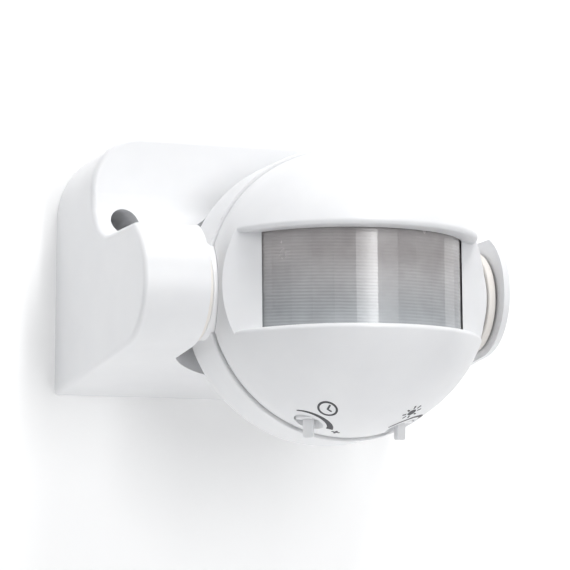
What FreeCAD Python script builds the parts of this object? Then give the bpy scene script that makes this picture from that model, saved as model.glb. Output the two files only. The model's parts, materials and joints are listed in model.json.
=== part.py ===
import FreeCAD, Part
import math
import os

# Wall-mounted passive infrared motion sensor: a hollow wall base with two arms, and a round
# sensor head that tilts between the arms on two hollow trunnions.
# Millimetres. The wall is the plane Y = 0 and the object stands out towards -Y. +X is to the
# right seen from the front and +Z is up. The origin is the middle of the wall face.

V = FreeCAD.Vector

# ---- overall size -------------------------------------------------------------------------
ARM_WIDTH = 16.05        # of the thick left arm
RIGHT_WALL = 1.9         # thickness of the thin right arm
HEIGHT = 61.0            # of the base on the wall
AXIS_OUT = 49.0          # wall face to tilt axis
AXIS_HEIGHT = 23.0       # tilt axis above the bottom of the wall face
REST_TILT = 3.0          # degrees the head looks up as drawn

# ---- base housing -------------------------------------------------------------------------
WALL = 2.2               # moulded wall thickness of the base
FRONT_OUT = 26.4         # wall face to the upright front face of the base
LEFT_CORNER = 17.8       # radius of the top left corner at the wall
LEFT_CORNER_FRONT = 12.0 # radius of the same corner at the front face
RIGHT_CORNER = 24.0      # radius of the top right corner at the wall
RIGHT_CORNER_FRONT = 22.0
EAR_RADIUS = 15.4        # round end of each arm
ARM_TOP = 14.3           # top of the arm above the tilt axis, at its round end
ARM_TOP_SLOPE = 3.7      # degrees the arm top falls towards the wall
UNDERSIDE_OFFSET = 14.3  # distance from the tilt axis to the sloping underside
BLEND_RADIUS = 11.0      # hollow blend from the front face to the arm top
EDGE_RADIUS = 1.1        # soft outer edges
ARM_GAP = 2.05           # side boss of the head to the left arm, with the washer between
RIGHT_GAP = 2.4          # side boss of the head to the right arm, with the washer between
POCKET_GAP = 7.7         # between the rear cap and the round pocket behind it
PIVOT_CLEARANCE = 0.07   # radial, trunnion in arm

# ---- wall fixing --------------------------------------------------------------------------
LEFT_SCREW_X = -45.0     # wall screw above the left arm
LEFT_SCREW_ABOVE = 17.2  # its height above the tilt axis
RIGHT_SCREW_X = 27.5     # wall screw in the top right corner
RIGHT_SCREW_ABOVE = 26.5
SCREW_HOLE_RADIUS = 2.2  # for a 4 mm wall screw
WELL_RADIUS = 3.5        # clears the screw head and the driver
WELL_WALL = 1.7
WELL_SEAT = 8.0          # thickness under the screw head
PLATE_THICKNESS = 2.5
PLATE_GAP = 0.2
GROMMET_X = 16.0
GROMMET_ABOVE_AXIS = 5.0
CABLE_RADIUS = 3.5       # cable passage through the grommet
GROMMET_RADIUS = 6.0

# ---- sensor head, measured from the tilt axis ---------------------------------------------
DOME_RADIUS = 33.6
DOME_CENTRE = 6.8        # centre of the dome in front of the axis
DOME_WALL = 2.2
DOME_EDGE = 5.8          # back edge of the dome
RING_FRONT = 5.3         # front of the lip on the head ring
RING_BACK = -6.5
RING_PROUD = 0.8         # the ring's lip stands this far outside the dome
RING_WALL = 2.6
SEAT_DEPTH = 1.0         # step in the ring that seats the dome's skirt
CAP_PROUD = 0.7
CAP_FLAT = -24.0         # back of the head
CAP_WALL = 2.0
BROW = 11.8              # window, above the axis
CHIN = 10.6              # window, below the axis
FLANK_INSET = 0.4        # window cheek: its outer end, inside the dome's radius
FLANK_OUT = 13.1         # window cheek: outer end, in front of the axis
LENS_RADIUS = 28.2
LENS_CENTRE = 3.9        # axis of the lens curve in front of the tilt axis
LENS_HALF_ANGLE = 61.2   # where the cheeks meet the lens
LENS_WALL = 0.8
LENS_GAP = 0.3
CHEEK_WALL = 1.8
SHELF_WALL = 1.6
BOSS_RADIUS = 11.3       # round side bosses of the head
BOSS_PROUD = 0.8         # the side bosses stand this far outside the dome
WASHER_RADIUS = 11.9
WASHER_GAP = 0.12
RIGHT_WASHER_GAP = 0.5
TRUNNION_RADIUS = 6.9
TRUNNION_BORE = 4.2
TRUNNION_PAST_ARM = 4.15
FLANGE_WIDTH = 2.1
FLANGE_THICKNESS = 2.0
NUT_THICKNESS = 3.0
NUT_WALL = 1.35          # trunnion to a flat of its nut
HEAD_SCREW_OFFSET = 20.2 # sideways and up or down from the middle
TIME_KNOB_X = -11.8      # control knobs left and right of the middle
LUX_KNOB_X = 10.9
KNOB_OUT = 12.3          # in front of the tilt axis
KNOB_RADIUS = 3.0
KNOB_HOLE_GAP = 0.35
KNOB_BLADE_WIDTH = 2.3
KNOB_RECESS = 0.9        # disc of a knob above the dome's skin
KNOB_BLADE_THICKNESS = 1.4
KNOB_PROUD = 0.8         # the blade ends this far below the lowest part of the dome
BOARD_RADIUS = 24.3
BOARD_BACK = 2.4         # back face of the circuit board in front of the axis
BOARD_THICKNESS = 1.6
LEAD_RADIUS = 1.8

# ---- values that follow ---------------------------------------------------------------------
RING_RADIUS = DOME_RADIUS + RING_PROUD
RING_INNER = RING_RADIUS - RING_WALL
RING_SEAT = RING_INNER + SEAT_DEPTH
CAP_RADIUS = DOME_RADIUS + CAP_PROUD
BOSS_END = DOME_RADIUS + BOSS_PROUD
EAR_INNER = BOSS_END + ARM_GAP
RIGHT_INNER = BOSS_END + RIGHT_GAP
LEFT = EAR_INNER + ARM_WIDTH
RIGHT = RIGHT_INNER + RIGHT_WALL
POCKET_RADIUS = CAP_RADIUS + POCKET_GAP
FLANK_X = DOME_RADIUS - FLANK_INSET
KNOB_BLADE_END = DOME_RADIUS + KNOB_PROUD
NUT_FLATS = 2.0 * (TRUNNION_RADIUS + NUT_WALL)
FLANGE_RADIUS = TRUNNION_RADIUS + FLANGE_WIDTH
BASE_BOTTOM = -HEIGHT / 2.0
BASE_TOP = HEIGHT / 2.0
AXIS_Z = BASE_BOTTOM + AXIS_HEIGHT
EAR_WALL_END = EAR_INNER + WALL
TRUNNION_END = EAR_WALL_END + TRUNNION_PAST_ARM
SHOULDER_RADIUS = 3.0    # of the right pivot screw
OUTLINE_BELOW = 8.0      # the outline runs on below the base before the side view trims it
OUTLINE_AHEAD = 2.0      # the growing corners start this far in front of the front face
WELLS = [(LEFT_SCREW_X, LEFT_SCREW_ABOVE), (RIGHT_SCREW_X, RIGHT_SCREW_ABOVE)]
GROMMET_Z = AXIS_Z + GROMMET_ABOVE_AXIS
BOARD_FRONT = BOARD_BACK + BOARD_THICKNESS
FAR = 200.0              # longer than anything it cuts through


def box(x0, x1, y0, y1, z0, z1):
    return Part.makeBox(x1 - x0, y1 - y0, z1 - z0, V(x0, y0, z0))


def rod(radius, start, end):
    return Part.makeCylinder(radius, (end - start).Length, start, end - start)


def join(shapes):
    joined = shapes[0]
    for shape in shapes[1:]:
        joined = joined.fuse(shape)
    return joined.removeSplitter()


def group(shapes):
    return Part.makeCompound(shapes)


def mirrored(shape):
    return shape.mirror(V(0, 0, 0), V(1, 0, 0))


def both_sides(shape):
    return [shape, mirrored(shape)]


def side_profile(inset, back):
    """Side view of the base as a face in the plane X = 0, drawn in from the outside by inset."""
    wall_y = AXIS_OUT
    ear = EAR_RADIUS - inset
    under = UNDERSIDE_OFFSET - inset
    # underside: a straight line past the axis at the distance 'under'
    reach = math.hypot(wall_y, AXIS_HEIGHT)
    slope = math.atan2(AXIS_HEIGHT, wall_y) - math.asin(UNDERSIDE_OFFSET / reach)
    foot = V(0, under * math.sin(slope), -under * math.cos(slope))
    along = V(0, math.cos(slope), math.sin(slope) * -1.0)
    half_chord = math.sqrt(ear * ear - under * under)
    under_front = foot - along * half_chord
    under_back = foot + along * ((back - foot.y) / along.y)
    # arm top: a straight line falling towards the wall
    fall = math.radians(ARM_TOP_SLOPE)
    top_dist = ARM_TOP * math.cos(fall) - inset
    top_foot = V(0, top_dist * math.sin(fall) * -1.0, top_dist * math.cos(fall))
    top_along = V(0, math.cos(fall), -math.sin(fall))
    top_front = top_foot - top_along * math.sqrt(ear * ear - top_dist * top_dist)
    front_y = AXIS_OUT - FRONT_OUT + inset
    corner = top_foot + top_along * ((front_y - top_foot.y) / top_along.y)
    top_z = HEIGHT - AXIS_HEIGHT - inset
    upper_front = V(0, front_y, top_z)
    upper_back = V(0, back, top_z)
    nose = V(0, -ear, 0)
    edges = [
        Part.makeLine(under_back, under_front),
        Part.Arc(under_front, nose, top_front).toShape(),
        Part.makeLine(top_front, corner),
        Part.makeLine(corner, upper_front),
        Part.makeLine(upper_front, upper_back),
        Part.makeLine(upper_back, under_back),
    ]
    return Part.Face(Part.Wire(edges)), corner


def side_prism(inset, back, left, right):
    """Side view drawn out across the width, with the hollow blend above the arms."""
    face, corner = side_profile(inset, back)
    face.translate(V(-left, 0, 0))
    solid = face.extrude(V(left + right, 0, 0))
    blend = [edge for edge in solid.Edges
             if abs(edge.BoundBox.XLength - left - right) < 0.01
             and abs(edge.CenterOfMass.y - corner.y) < 0.01
             and abs(edge.CenterOfMass.z - corner.z) < 0.01]
    return solid.makeFillet(BLEND_RADIUS + inset, blend)


def outline_wire(inset, y, left_radius, right_radius):
    """Front view of the base at one depth: square lower corners and round upper ones."""
    left = -LEFT + inset
    right = RIGHT - inset
    low = -AXIS_HEIGHT - OUTLINE_BELOW
    high = HEIGHT - AXIS_HEIGHT - inset
    r_left = left_radius - inset
    r_right = right_radius - inset
    off_arc = 1.0 - math.sqrt(0.5)
    lower_left = V(left, y, low)
    lower_right = V(right, y, low)
    right_start = V(right, y, high - r_right)
    right_mid = V(right - r_right * off_arc, y, high - r_right * off_arc)
    right_end = V(right - r_right, y, high)
    left_start = V(left + r_left, y, high)
    left_mid = V(left + r_left * off_arc, y, high - r_left * off_arc)
    left_end = V(left, y, high - r_left)
    return Part.Wire([
        Part.makeLine(lower_left, lower_right),
        Part.makeLine(lower_right, right_start),
        Part.Arc(right_start, right_mid, right_end).toShape(),
        Part.makeLine(right_end, left_start),
        Part.Arc(left_start, left_mid, left_end).toShape(),
        Part.makeLine(left_end, lower_left),
    ])


def outline_prism(inset, past_wall):
    """Front view of the base drawn back to the wall; its upper corners grow rounder on the way."""
    front_y = AXIS_OUT - FRONT_OUT
    back_y = AXIS_OUT + past_wall
    grow = (back_y - front_y + OUTLINE_AHEAD) / FRONT_OUT
    ahead = OUTLINE_AHEAD / FRONT_OUT
    left_step = LEFT_CORNER - LEFT_CORNER_FRONT
    right_step = RIGHT_CORNER - RIGHT_CORNER_FRONT
    first = outline_wire(inset, front_y - OUTLINE_AHEAD,
                         LEFT_CORNER_FRONT - left_step * ahead, RIGHT_CORNER_FRONT - right_step * ahead)
    last = outline_wire(inset, back_y,
                        LEFT_CORNER_FRONT + left_step * (grow - ahead),
                        RIGHT_CORNER_FRONT + right_step * (grow - ahead))
    body = Part.makeLoft([first, last], True, True)
    front = Part.Face(first).extrude(V(0, -FAR, 0))
    return body.fuse(front)


def pocket(grow):
    """The round hollow that the head swings in, limited by the inner faces of the arms."""
    ball = Part.makeSphere(POCKET_RADIUS + grow, V(0, -DOME_CENTRE, 0))
    return ball.common(box(-EAR_INNER - grow, RIGHT_INNER + grow, -FAR, FAR, -FAR, FAR))


def from_axis_frame(shape):
    shape.translate(V(0, -AXIS_OUT, AXIS_Z))
    return shape


# screw posts of the back plate: x, height above the tilt axis, direction of the rib to a wall
POSTS = [(-LEFT + 8.0, -12.8, "left"), (-37.0, 29.5, "up"), (RIGHT - 6.7, -12.8, "right"), (18.2, 31.2, "up")]
POST_RADIUS = 3.2
POST_DEPTH = 14.0
PILOT_RADIUS = 1.2
RIB_HALF = 0.8


def base_outer():
    outer = outline_prism(0.0, 0.0).common(side_prism(0.0, AXIS_OUT, LEFT, RIGHT))
    soft = []
    for edge in outer.Edges:
        bound = edge.BoundBox
        on_side = bound.XLength < 0.01 and min(abs(bound.XMin + LEFT), abs(bound.XMin - RIGHT)) < 0.01
        at_wall = bound.YMin > AXIS_OUT - 0.01
        smooth_seam = on_side and bound.ZMin > ARM_TOP + 1.0 and bound.YMax > AXIS_OUT - 0.01
        in_front = abs(bound.YMin - AXIS_OUT + FRONT_OUT) < 0.01 and bound.YLength < 0.01
        if on_side and not at_wall and not smooth_seam and edge.Length > 0.3:
            soft.append(edge)
        elif in_front and bound.XLength > 1.0 and bound.ZMax > ARM_TOP + 12.0:
            soft.append(edge)
    return outer.makeFillet(EDGE_RADIUS, soft)


def post_ribs():
    ribs = []
    back = AXIS_OUT - PLATE_THICKNESS - PLATE_GAP
    for x, z, way in POSTS:
        if way == "left":
            ribs.append(box(-LEFT + WALL - 0.5, x, back - POST_DEPTH, back, z - RIB_HALF, z + RIB_HALF))
        elif way == "right":
            ribs.append(box(x, RIGHT - WALL + 0.5, back - POST_DEPTH, back, z - RIB_HALF, z + RIB_HALF))
        else:
            top = HEIGHT - AXIS_HEIGHT - WALL + 0.5
            ribs.append(box(x - RIB_HALF, x + RIB_HALF, back - POST_DEPTH, back, z, top))
    return ribs


def base_housing():
    outer = base_outer()
    inner = outline_prism(WALL, 5.0).common(side_prism(WALL, AXIS_OUT + 5.0, LEFT, RIGHT))
    inner = inner.cut(pocket(WALL))
    shell = outer.cut(pocket(0.0)).cut(inner)
    back = AXIS_OUT - PLATE_THICKNESS - PLATE_GAP
    extras = post_ribs()
    cuts = []
    for x, z, way in POSTS:
        start = V(x, back, z)
        extras.append(rod(POST_RADIUS, start, start - V(0, POST_DEPTH, 0)))
        cuts.append(rod(PILOT_RADIUS, start + V(0, 1, 0), start - V(0, POST_DEPTH - 1.0, 0)))
    for x, z in WELLS:
        start = V(x, back, z)
        end = V(x, -EAR_RADIUS * 2.0, z)
        extras.append(rod(WELL_RADIUS + WELL_WALL, start, end).common(outer))
        cuts.append(rod(WELL_RADIUS, start - V(0, WELL_SEAT, 0), end))
        cuts.append(rod(SCREW_HOLE_RADIUS, start + V(0, 1, 0), end))
    cuts.append(rod(TRUNNION_RADIUS + PIVOT_CLEARANCE, V(-EAR_INNER + 1.0, 0, 0), V(-EAR_WALL_END - 1.0, 0, 0)))
    cuts.append(rod(SHOULDER_RADIUS + PIVOT_CLEARANCE, V(RIGHT_INNER - 1.0, 0, 0), V(RIGHT + 1.0, 0, 0)))
    housing = join([shell] + extras).cut(group(cuts))
    return from_axis_frame(housing)


PLATE_SCREW_HEAD = 2.6
PLATE_SCREW_LENGTH = 10.5
SHANK_RADIUS = 1.15
LIP_THICKNESS = 1.0
LIP_RADIUS = 7.6


def countersunk(head_radius, shank_radius, length, top, direction):
    """A countersunk screw: its flat top at 'top', the shank along 'direction'."""
    depth = head_radius - shank_radius
    cone = Part.makeCone(head_radius, shank_radius, depth, top, direction)
    shank = Part.makeCylinder(shank_radius, length, top, direction)
    slot_wide = head_radius * 1.3
    cross = []
    for across in (V(1, 0, 0), V(0, 0, 1)):
        other = V(0, 0, 1) if across.x else V(1, 0, 0)
        corner = top - across * (slot_wide / 2.0) - other * 0.3
        sizes = across * slot_wide + other * 0.6
        deep = depth * 0.7
        if direction.y < 0:
            corner = corner - V(0, deep, 0)
        cross.append(Part.makeBox(sizes.x, deep, sizes.z, corner))
    return join([cone, shank]).cut(group(cross))


def back_plate():
    inset = WALL + PLATE_GAP
    plate = outline_prism(inset, 0.0).common(side_prism(inset, AXIS_OUT, LEFT, RIGHT))
    plate = plate.common(box(-LEFT, RIGHT, AXIS_OUT - PLATE_THICKNESS, AXIS_OUT + 1, -FAR, FAR))
    plate = from_axis_frame(plate)
    cuts = []
    for x, z in WELLS:
        cuts.append(rod(SCREW_HOLE_RADIUS, V(x, 1, AXIS_Z + z), V(x, -FAR, AXIS_Z + z)))
    for x, z, way in POSTS:
        top = V(x, 0, AXIS_Z + z)
        depth = PLATE_SCREW_HEAD - SHANK_RADIUS
        cuts.append(Part.makeCone(PLATE_SCREW_HEAD + 0.1, SHANK_RADIUS + 0.1, depth, top, V(0, -1, 0)))
        cuts.append(rod(SHANK_RADIUS + 0.1, top + V(0, 1, 0), top - V(0, 5, 0)))
    centre = V(GROMMET_X, 0, GROMMET_Z)
    cuts.append(rod(GROMMET_RADIUS, centre + V(0, 1, 0), centre - V(0, 5, 0)))
    cuts.append(rod(LIP_RADIUS, centre + V(0, 1, 0), centre - V(0, LIP_THICKNESS, 0)))
    return plate.cut(group(cuts))


def back_plate_screws():
    screws = []
    for x, z, way in POSTS:
        top = V(x, 0, AXIS_Z + z)
        screws.append(countersunk(PLATE_SCREW_HEAD, SHANK_RADIUS, PLATE_SCREW_LENGTH, top, V(0, -1, 0)))
    return group(screws)


def cable_grommet():
    centre = V(GROMMET_X, 0, GROMMET_Z)
    inner_face = centre - V(0, PLATE_THICKNESS, 0)
    body = rod(GROMMET_RADIUS, centre, centre - V(0, PLATE_THICKNESS + 1.2, 0))
    outer_lip = rod(LIP_RADIUS, centre, centre - V(0, LIP_THICKNESS, 0))
    inner_lip = rod(LIP_RADIUS, inner_face, inner_face - V(0, 1.2, 0))
    sleeve = rod(CABLE_RADIUS + 1.2, inner_face, inner_face - V(0, 4.5, 0))
    solid = join([body, outer_lip, inner_lip, sleeve])
    return solid.cut(rod(CABLE_RADIUS, centre + V(0, 1, 0), centre - V(0, 10, 0)))


BLOCK_HALF = 14.0
BLOCK_LOW = AXIS_Z + 24.6
BLOCK_HIGH = AXIS_Z + 35.4
BLOCK_FRONT = -15.5
POLE_PITCH = 9.0
TERMINAL_RADIUS = 1.9


def pole_positions():
    rows = (BLOCK_LOW + 2.9, BLOCK_HIGH - 2.9)
    return [(pole * POLE_PITCH, row) for pole in (-1, 0, 1) for row in rows]


def terminal_block():
    block = box(-BLOCK_HALF, BLOCK_HALF, BLOCK_FRONT, -PLATE_THICKNESS, BLOCK_LOW, BLOCK_HIGH)
    cuts = []
    for x, z in pole_positions():
        cuts.append(rod(TERMINAL_RADIUS + 0.1, V(x, BLOCK_FRONT - 1, z), V(x, BLOCK_FRONT + 6.0, z)))
    for pole in (-1, 0, 1):
        x = pole * POLE_PITCH
        cuts.append(rod(1.6, V(x, -7.6, BLOCK_LOW - 1), V(x, -7.6, BLOCK_HIGH + 1)))
    for gap in (-0.5, 0.5):
        x = gap * POLE_PITCH
        cuts.append(box(x - 0.5, x + 0.5, BLOCK_FRONT - 1, BLOCK_FRONT + 3.5, BLOCK_LOW - 1, BLOCK_HIGH + 1))
    return block.cut(group(cuts))


def terminal_screws():
    screws = []
    for x, z in pole_positions():
        head = rod(TERMINAL_RADIUS, V(x, BLOCK_FRONT + 1.6, z), V(x, BLOCK_FRONT + 5.9, z))
        slot = box(x - 2.5, x + 2.5, BLOCK_FRONT + 1.0, BLOCK_FRONT + 2.4, z - 0.3, z + 0.3)
        screws.append(head.cut(slot))
    return group(screws)


CLAMP_Z = AXIS_Z + 17.0
CLAMP_HALF = 9.5
CLAMP_SCREW = 7.0


def cable_clamp():
    bar = box(GROMMET_X - CLAMP_HALF, GROMMET_X + CLAMP_HALF, -10.0, -7.4, CLAMP_Z - 2.5, CLAMP_Z + 2.5)
    feet = []
    for side in (-1, 1):
        x = GROMMET_X + side * CLAMP_SCREW
        feet.append(box(x - 2.5, x + 2.5, -7.4, -PLATE_THICKNESS, CLAMP_Z - 2.5, CLAMP_Z + 2.5))
    saddle = rod(CABLE_RADIUS + 0.6, V(GROMMET_X, -5.0, CLAMP_Z - 5), V(GROMMET_X, -5.0, CLAMP_Z + 5))
    clamp = join([bar] + feet).cut(saddle)
    holes = []
    for side in (-1, 1):
        x = GROMMET_X + side * CLAMP_SCREW
        holes.append(rod(1.3, V(x, -11, CLAMP_Z), V(x, -1, CLAMP_Z)))
    return clamp.cut(group(holes))


def cable_clamp_screws():
    screws = []
    for side in (-1, 1):
        x = GROMMET_X + side * CLAMP_SCREW
        head = rod(2.3, V(x, -11.8, CLAMP_Z), V(x, -10.0, CLAMP_Z))
        shank = rod(SHANK_RADIUS, V(x, -10.0, CLAMP_Z), V(x, -PLATE_THICKNESS, CLAMP_Z))
        slot = box(x - 3, x + 3, -12, -11.1, CLAMP_Z - 0.3, CLAMP_Z + 0.3)
        screws.append(join([head, shank]).cut(slot))
    return group(screws)


def rounded_path(points, radius):
    """A wire through the points, its corners rounded as arcs of the given radius."""
    edges = []
    start = points[0]
    for index in range(1, len(points) - 1):
        corner = points[index]
        back = (points[index - 1] - corner).normalize()
        ahead = (points[index + 1] - corner).normalize()
        half = math.acos(max(-1.0, min(1.0, back.dot(ahead)))) / 2.0
        setback = radius / math.tan(half)
        first = corner + back * setback
        last = corner + ahead * setback
        middle = (back + ahead).normalize()
        mid = corner + middle * (radius / math.sin(half) - radius)
        edges.append(Part.makeLine(start, first))
        edges.append(Part.Arc(first, mid, last).toShape())
        start = last
    edges.append(Part.makeLine(start, points[-1]))
    return Part.Wire(edges)


def piped(path, radius):
    first = path.Edges[0]
    start = first.Vertexes[0].Point
    ring = Part.Wire([Part.makeCircle(radius, start, first.tangentAt(first.FirstParameter))])
    return path.makePipeShell([ring], True, False)


SPLICE_X = -33.0
LEAD_X = -LEFT + WALL + LEAD_RADIUS + 0.6


def base_lead():
    points = [
        V(-POLE_PITCH, -7.6, BLOCK_LOW - 0.3),
        V(-POLE_PITCH, -7.6, AXIS_Z + 17.0),
        V(-34.0, -9.5, AXIS_Z + 17.0),
        V(-34.0, -10.5, AXIS_Z + 4.0),
        V(LEAD_X, -22.0, AXIS_Z),
        V(LEAD_X, -AXIS_OUT, AXIS_Z),
        V(SPLICE_X, -AXIS_OUT, AXIS_Z),
    ]
    return piped(rounded_path(points, 4.5), LEAD_RADIUS)


# ---- head, drawn about the tilt axis with no tilt, front towards -Y -------------------------

def dome_ball(radius):
    return Part.makeSphere(radius, V(0, -DOME_CENTRE, 0))


def lens_point(radius, degrees):
    angle = math.radians(degrees)
    return V(radius * math.sin(angle), -LENS_CENTRE - radius * math.cos(angle), 0)


def recess_face(low, depth):
    """Plan view of the window recess: two slanted cheeks and the curve just outside the lens."""
    curve = LENS_RADIUS + LENS_GAP
    tip = lens_point(curve, LENS_HALF_ANGLE)
    outer = V(FLANK_X, -FLANK_OUT, 0)
    along = (outer - tip).normalize()
    inward = V(-along.y, along.x, 0) * (1.0 if along.x * -1.0 > 0 else -1.0)
    if inward.y < 0:
        inward = inward * -1.0
    tip_in = tip + inward * depth
    if depth > 0:
        # follow the cheek outwards from its inner line to the lens curve
        to_tip = tip_in - V(0, -LENS_CENTRE, 0)
        b_half = to_tip.dot(along)
        c_term = to_tip.dot(to_tip) - curve * curve
        tip_in = tip_in + along * (-b_half + math.sqrt(b_half * b_half - c_term))
    far = tip_in + along * 25.0
    front = -FAR / 2.0
    middle = lens_point(curve, 0)
    points = [V(-far.x, front, low), V(-far.x, far.y, low), V(-tip_in.x, tip_in.y, low)]
    edges = [Part.makeLine(points[0], points[1]), Part.makeLine(points[1], points[2])]
    edges.append(Part.Arc(points[2], V(0, middle.y, low), V(tip_in.x, tip_in.y, low)).toShape())
    edges.append(Part.makeLine(V(tip_in.x, tip_in.y, low), V(far.x, far.y, low)))
    edges.append(Part.makeLine(V(far.x, far.y, low), V(far.x, front, low)))
    edges.append(Part.makeLine(V(far.x, front, low), points[0]))
    return Part.Face(Part.Wire(edges))


def recess(depth, extra):
    face = recess_face(-CHIN - extra, depth)
    return face.extrude(V(0, 0, CHIN + BROW + 2.0 * extra))


def knob_positions():
    return [(TIME_KNOB_X, -KNOB_OUT), (LUX_KNOB_X, -KNOB_OUT)]


def screw_positions():
    return [(x * HEAD_SCREW_OFFSET, z * HEAD_SCREW_OFFSET) for x in (-1, 1) for z in (-1, 1)]


SKIRT_BACK = 1.2
RING_STEP = 0.2         # shoulder of the head ring under the seal
COVER_BOSS_BACK = 0.35
SKIRT_GAP = 0.15
COVER_BOSS_RADIUS = 3.2
COVER_BOSS_FRONT = 13.0


def boss_notch():
    return rod(BOSS_RADIUS + 0.25, V(BOSS_INNER - 0.3, 0, 0), V(FAR, 0, 0))


def front_cover():
    in_front = box(-FAR, FAR, -FAR, -DOME_EDGE, -FAR, FAR)
    solid = dome_ball(DOME_RADIUS).common(in_front).cut(recess(0.0, 0.0))
    lip = [edge for edge in solid.Edges
           if edge.BoundBox.YMax < -FLANK_OUT - 0.5 and edge.BoundBox.YLength > 12.0
           and (abs(edge.BoundBox.ZMin - BROW) < 0.05 or abs(edge.BoundBox.ZMax + CHIN) < 0.05)
           and edge.BoundBox.ZLength < 0.05 and abs(edge.BoundBox.YMin) > LENS_RADIUS + LENS_CENTRE + 2.0]
    if lip:
        solid = solid.makeFillet(0.9, lip)
    hollow = dome_ball(DOME_RADIUS - DOME_WALL).cut(recess(CHEEK_WALL, SHELF_WALL))
    hollow = hollow.common(box(-FAR, FAR, -FAR, -DOME_EDGE, -FAR, FAR))
    shell = solid.cut(hollow)
    skirt_radius = RING_SEAT - SKIRT_GAP
    skirt_inner = DOME_RADIUS - DOME_WALL - 0.4
    y_axis = V(0, 1, 0)
    skirt = Part.makeCylinder(skirt_radius, DOME_EDGE - SKIRT_BACK + 1.0, V(0, -DOME_EDGE - 1.0, 0), y_axis)
    skirt = skirt.cut(Part.makeCylinder(skirt_inner, 20.0, V(0, -DOME_EDGE - 5.0, 0), y_axis))
    bosses = []
    for x, z in screw_positions():
        boss = rod(COVER_BOSS_RADIUS, V(x, -COVER_BOSS_BACK, z), V(x, -COVER_BOSS_FRONT, z))
        bosses.append(boss.common(dome_ball(DOME_RADIUS - 0.5)))
    cover = join([shell, skirt] + bosses)
    cuts = []
    for x, z in screw_positions():
        cuts.append(rod(PILOT_RADIUS, V(x, 0, z), V(x, -COVER_BOSS_FRONT + 1.5, z)))
    for x, y in knob_positions():
        cuts.append(rod(KNOB_RADIUS + KNOB_HOLE_GAP, V(x, y, -FAR / 2), V(x, y, -DOME_RADIUS * 0.6)))
    cuts.extend(both_sides(boss_notch()))
    return cover.cut(group(cuts))


BOSS_INNER = BOSS_END - 4.8


def head_ring():
    y_axis = V(0, 1, 0)
    depth = RING_FRONT - RING_BACK
    ring = Part.makeCylinder(RING_RADIUS, depth, V(0, -RING_FRONT, 0), y_axis)
    front_edge = [edge for edge in ring.Edges if edge.BoundBox.YMax < -RING_FRONT + 0.01]
    ring = ring.makeFillet(0.45, front_edge)
    ring = ring.cut(Part.makeCylinder(RING_INNER, depth + 2.0, V(0, -RING_FRONT - 1.0, 0), y_axis))
    seat_depth = RING_FRONT - RING_STEP + 1.0
    ring = ring.cut(Part.makeCylinder(RING_SEAT, seat_depth, V(0, -RING_FRONT - 1.0, 0), y_axis))
    boss = rod(BOSS_RADIUS, V(BOSS_INNER, 0, 0), V(BOSS_END, 0, 0))
    rim = [edge for edge in boss.Edges if edge.BoundBox.XMin > BOSS_END - 0.01]
    boss = boss.makeFillet(0.5, rim)
    posts = []
    for x, z in screw_positions():
        posts.append(rod(POST_RING_RADIUS, V(x, -RING_STEP, z), V(x, -RING_BACK, z)))
    posts.append(rod(HUB_RADIUS, V(HUB_INNER, 0, 0), V(BOSS_INNER + 1.0, 0, 0)))
    ring = join([ring] + both_sides(boss) + posts)
    cuts = [rod(TRUNNION_RADIUS + 0.05, V(-BOSS_INNER + 1, 0, 0), V(-BOSS_END - 1, 0, 0))]
    cuts.append(rod(PIVOT_SHANK + 0.05, V(HUB_INNER - 1, 0, 0), V(BOSS_END + 1, 0, 0)))
    for x, z in screw_positions():
        cuts.append(rod(1.5, V(x, -20, z), V(x, 20, z)))
    return ring.cut(group(cuts))


POST_RING_RADIUS = 3.8
HUB_RADIUS = 5.5
HUB_INNER = BOSS_INNER - 4.4
PIVOT_SHANK = 2.2
CAP_FRONT_GAP = 0.25
CAP_RIM = 1.6
CAP_SWING = CAP_RADIUS - 0.1  # tilt axis to the fullest part of the cap, which sweeps the pocket
CAP_BULGE_ANGLE = 33.0
CAP_SHOULDER_X = 20.0
CAP_SCREW_SEAT = 10.5


def cap_profile(inset):
    front = -RING_BACK + CAP_FRONT_GAP
    rim = CAP_RADIUS - inset
    shoulder = front + CAP_RIM
    flat = -CAP_FLAT - inset
    start_x = CAP_SHOULDER_X - inset * 0.5
    swing = math.radians(CAP_BULGE_ANGLE)
    bulge = V((CAP_SWING - inset) * math.cos(swing), (CAP_SWING - inset) * math.sin(swing), 0)
    edges = [
        Part.makeLine(V(0, front - (1 if inset else 0), 0), V(rim, front - (1 if inset else 0), 0)),
        Part.makeLine(V(rim, front - (1 if inset else 0), 0), V(rim, shoulder, 0)),
        Part.Arc(V(rim, shoulder, 0), bulge, V(start_x, flat, 0)).toShape(),
        Part.makeLine(V(start_x, flat, 0), V(0, flat, 0)),
        Part.makeLine(V(0, flat, 0), V(0, front - (1 if inset else 0), 0)),
    ]
    return Part.Face(Part.Wire(edges)).revolve(V(0, 0, 0), V(0, 1, 0), 360)


def rear_cap():
    outer = cap_profile(0.0)
    shell = outer.cut(cap_profile(CAP_WALL))
    front = -RING_BACK + CAP_FRONT_GAP
    spigot = Part.makeCylinder(RING_INNER - 0.2, 3.0, V(0, front - 1.5, 0), V(0, 1, 0))
    spigot = spigot.cut(Part.makeCylinder(RING_INNER - 1.6, 9.0, V(0, front - 3.0, 0), V(0, 1, 0)))
    posts = []
    for x, z in screw_positions():
        posts.append(rod(4.4, V(x, front + 0.1, z), V(x, 40, z)).common(outer))
    cap = join([shell, spigot] + posts)
    cuts = []
    for x, z in screw_positions():
        cuts.append(rod(2.9, V(x, CAP_SCREW_SEAT, z), V(x, 40, z)))
        cuts.append(rod(1.5, V(x, 0, z), V(x, 40, z)))
        cuts.append(rod(POST_RING_RADIUS + 0.3, V(x, -5, z), V(x, -RING_BACK + 0.1, z)))
    cuts.extend(both_sides(boss_notch()))
    return cap.cut(group(cuts))


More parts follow.
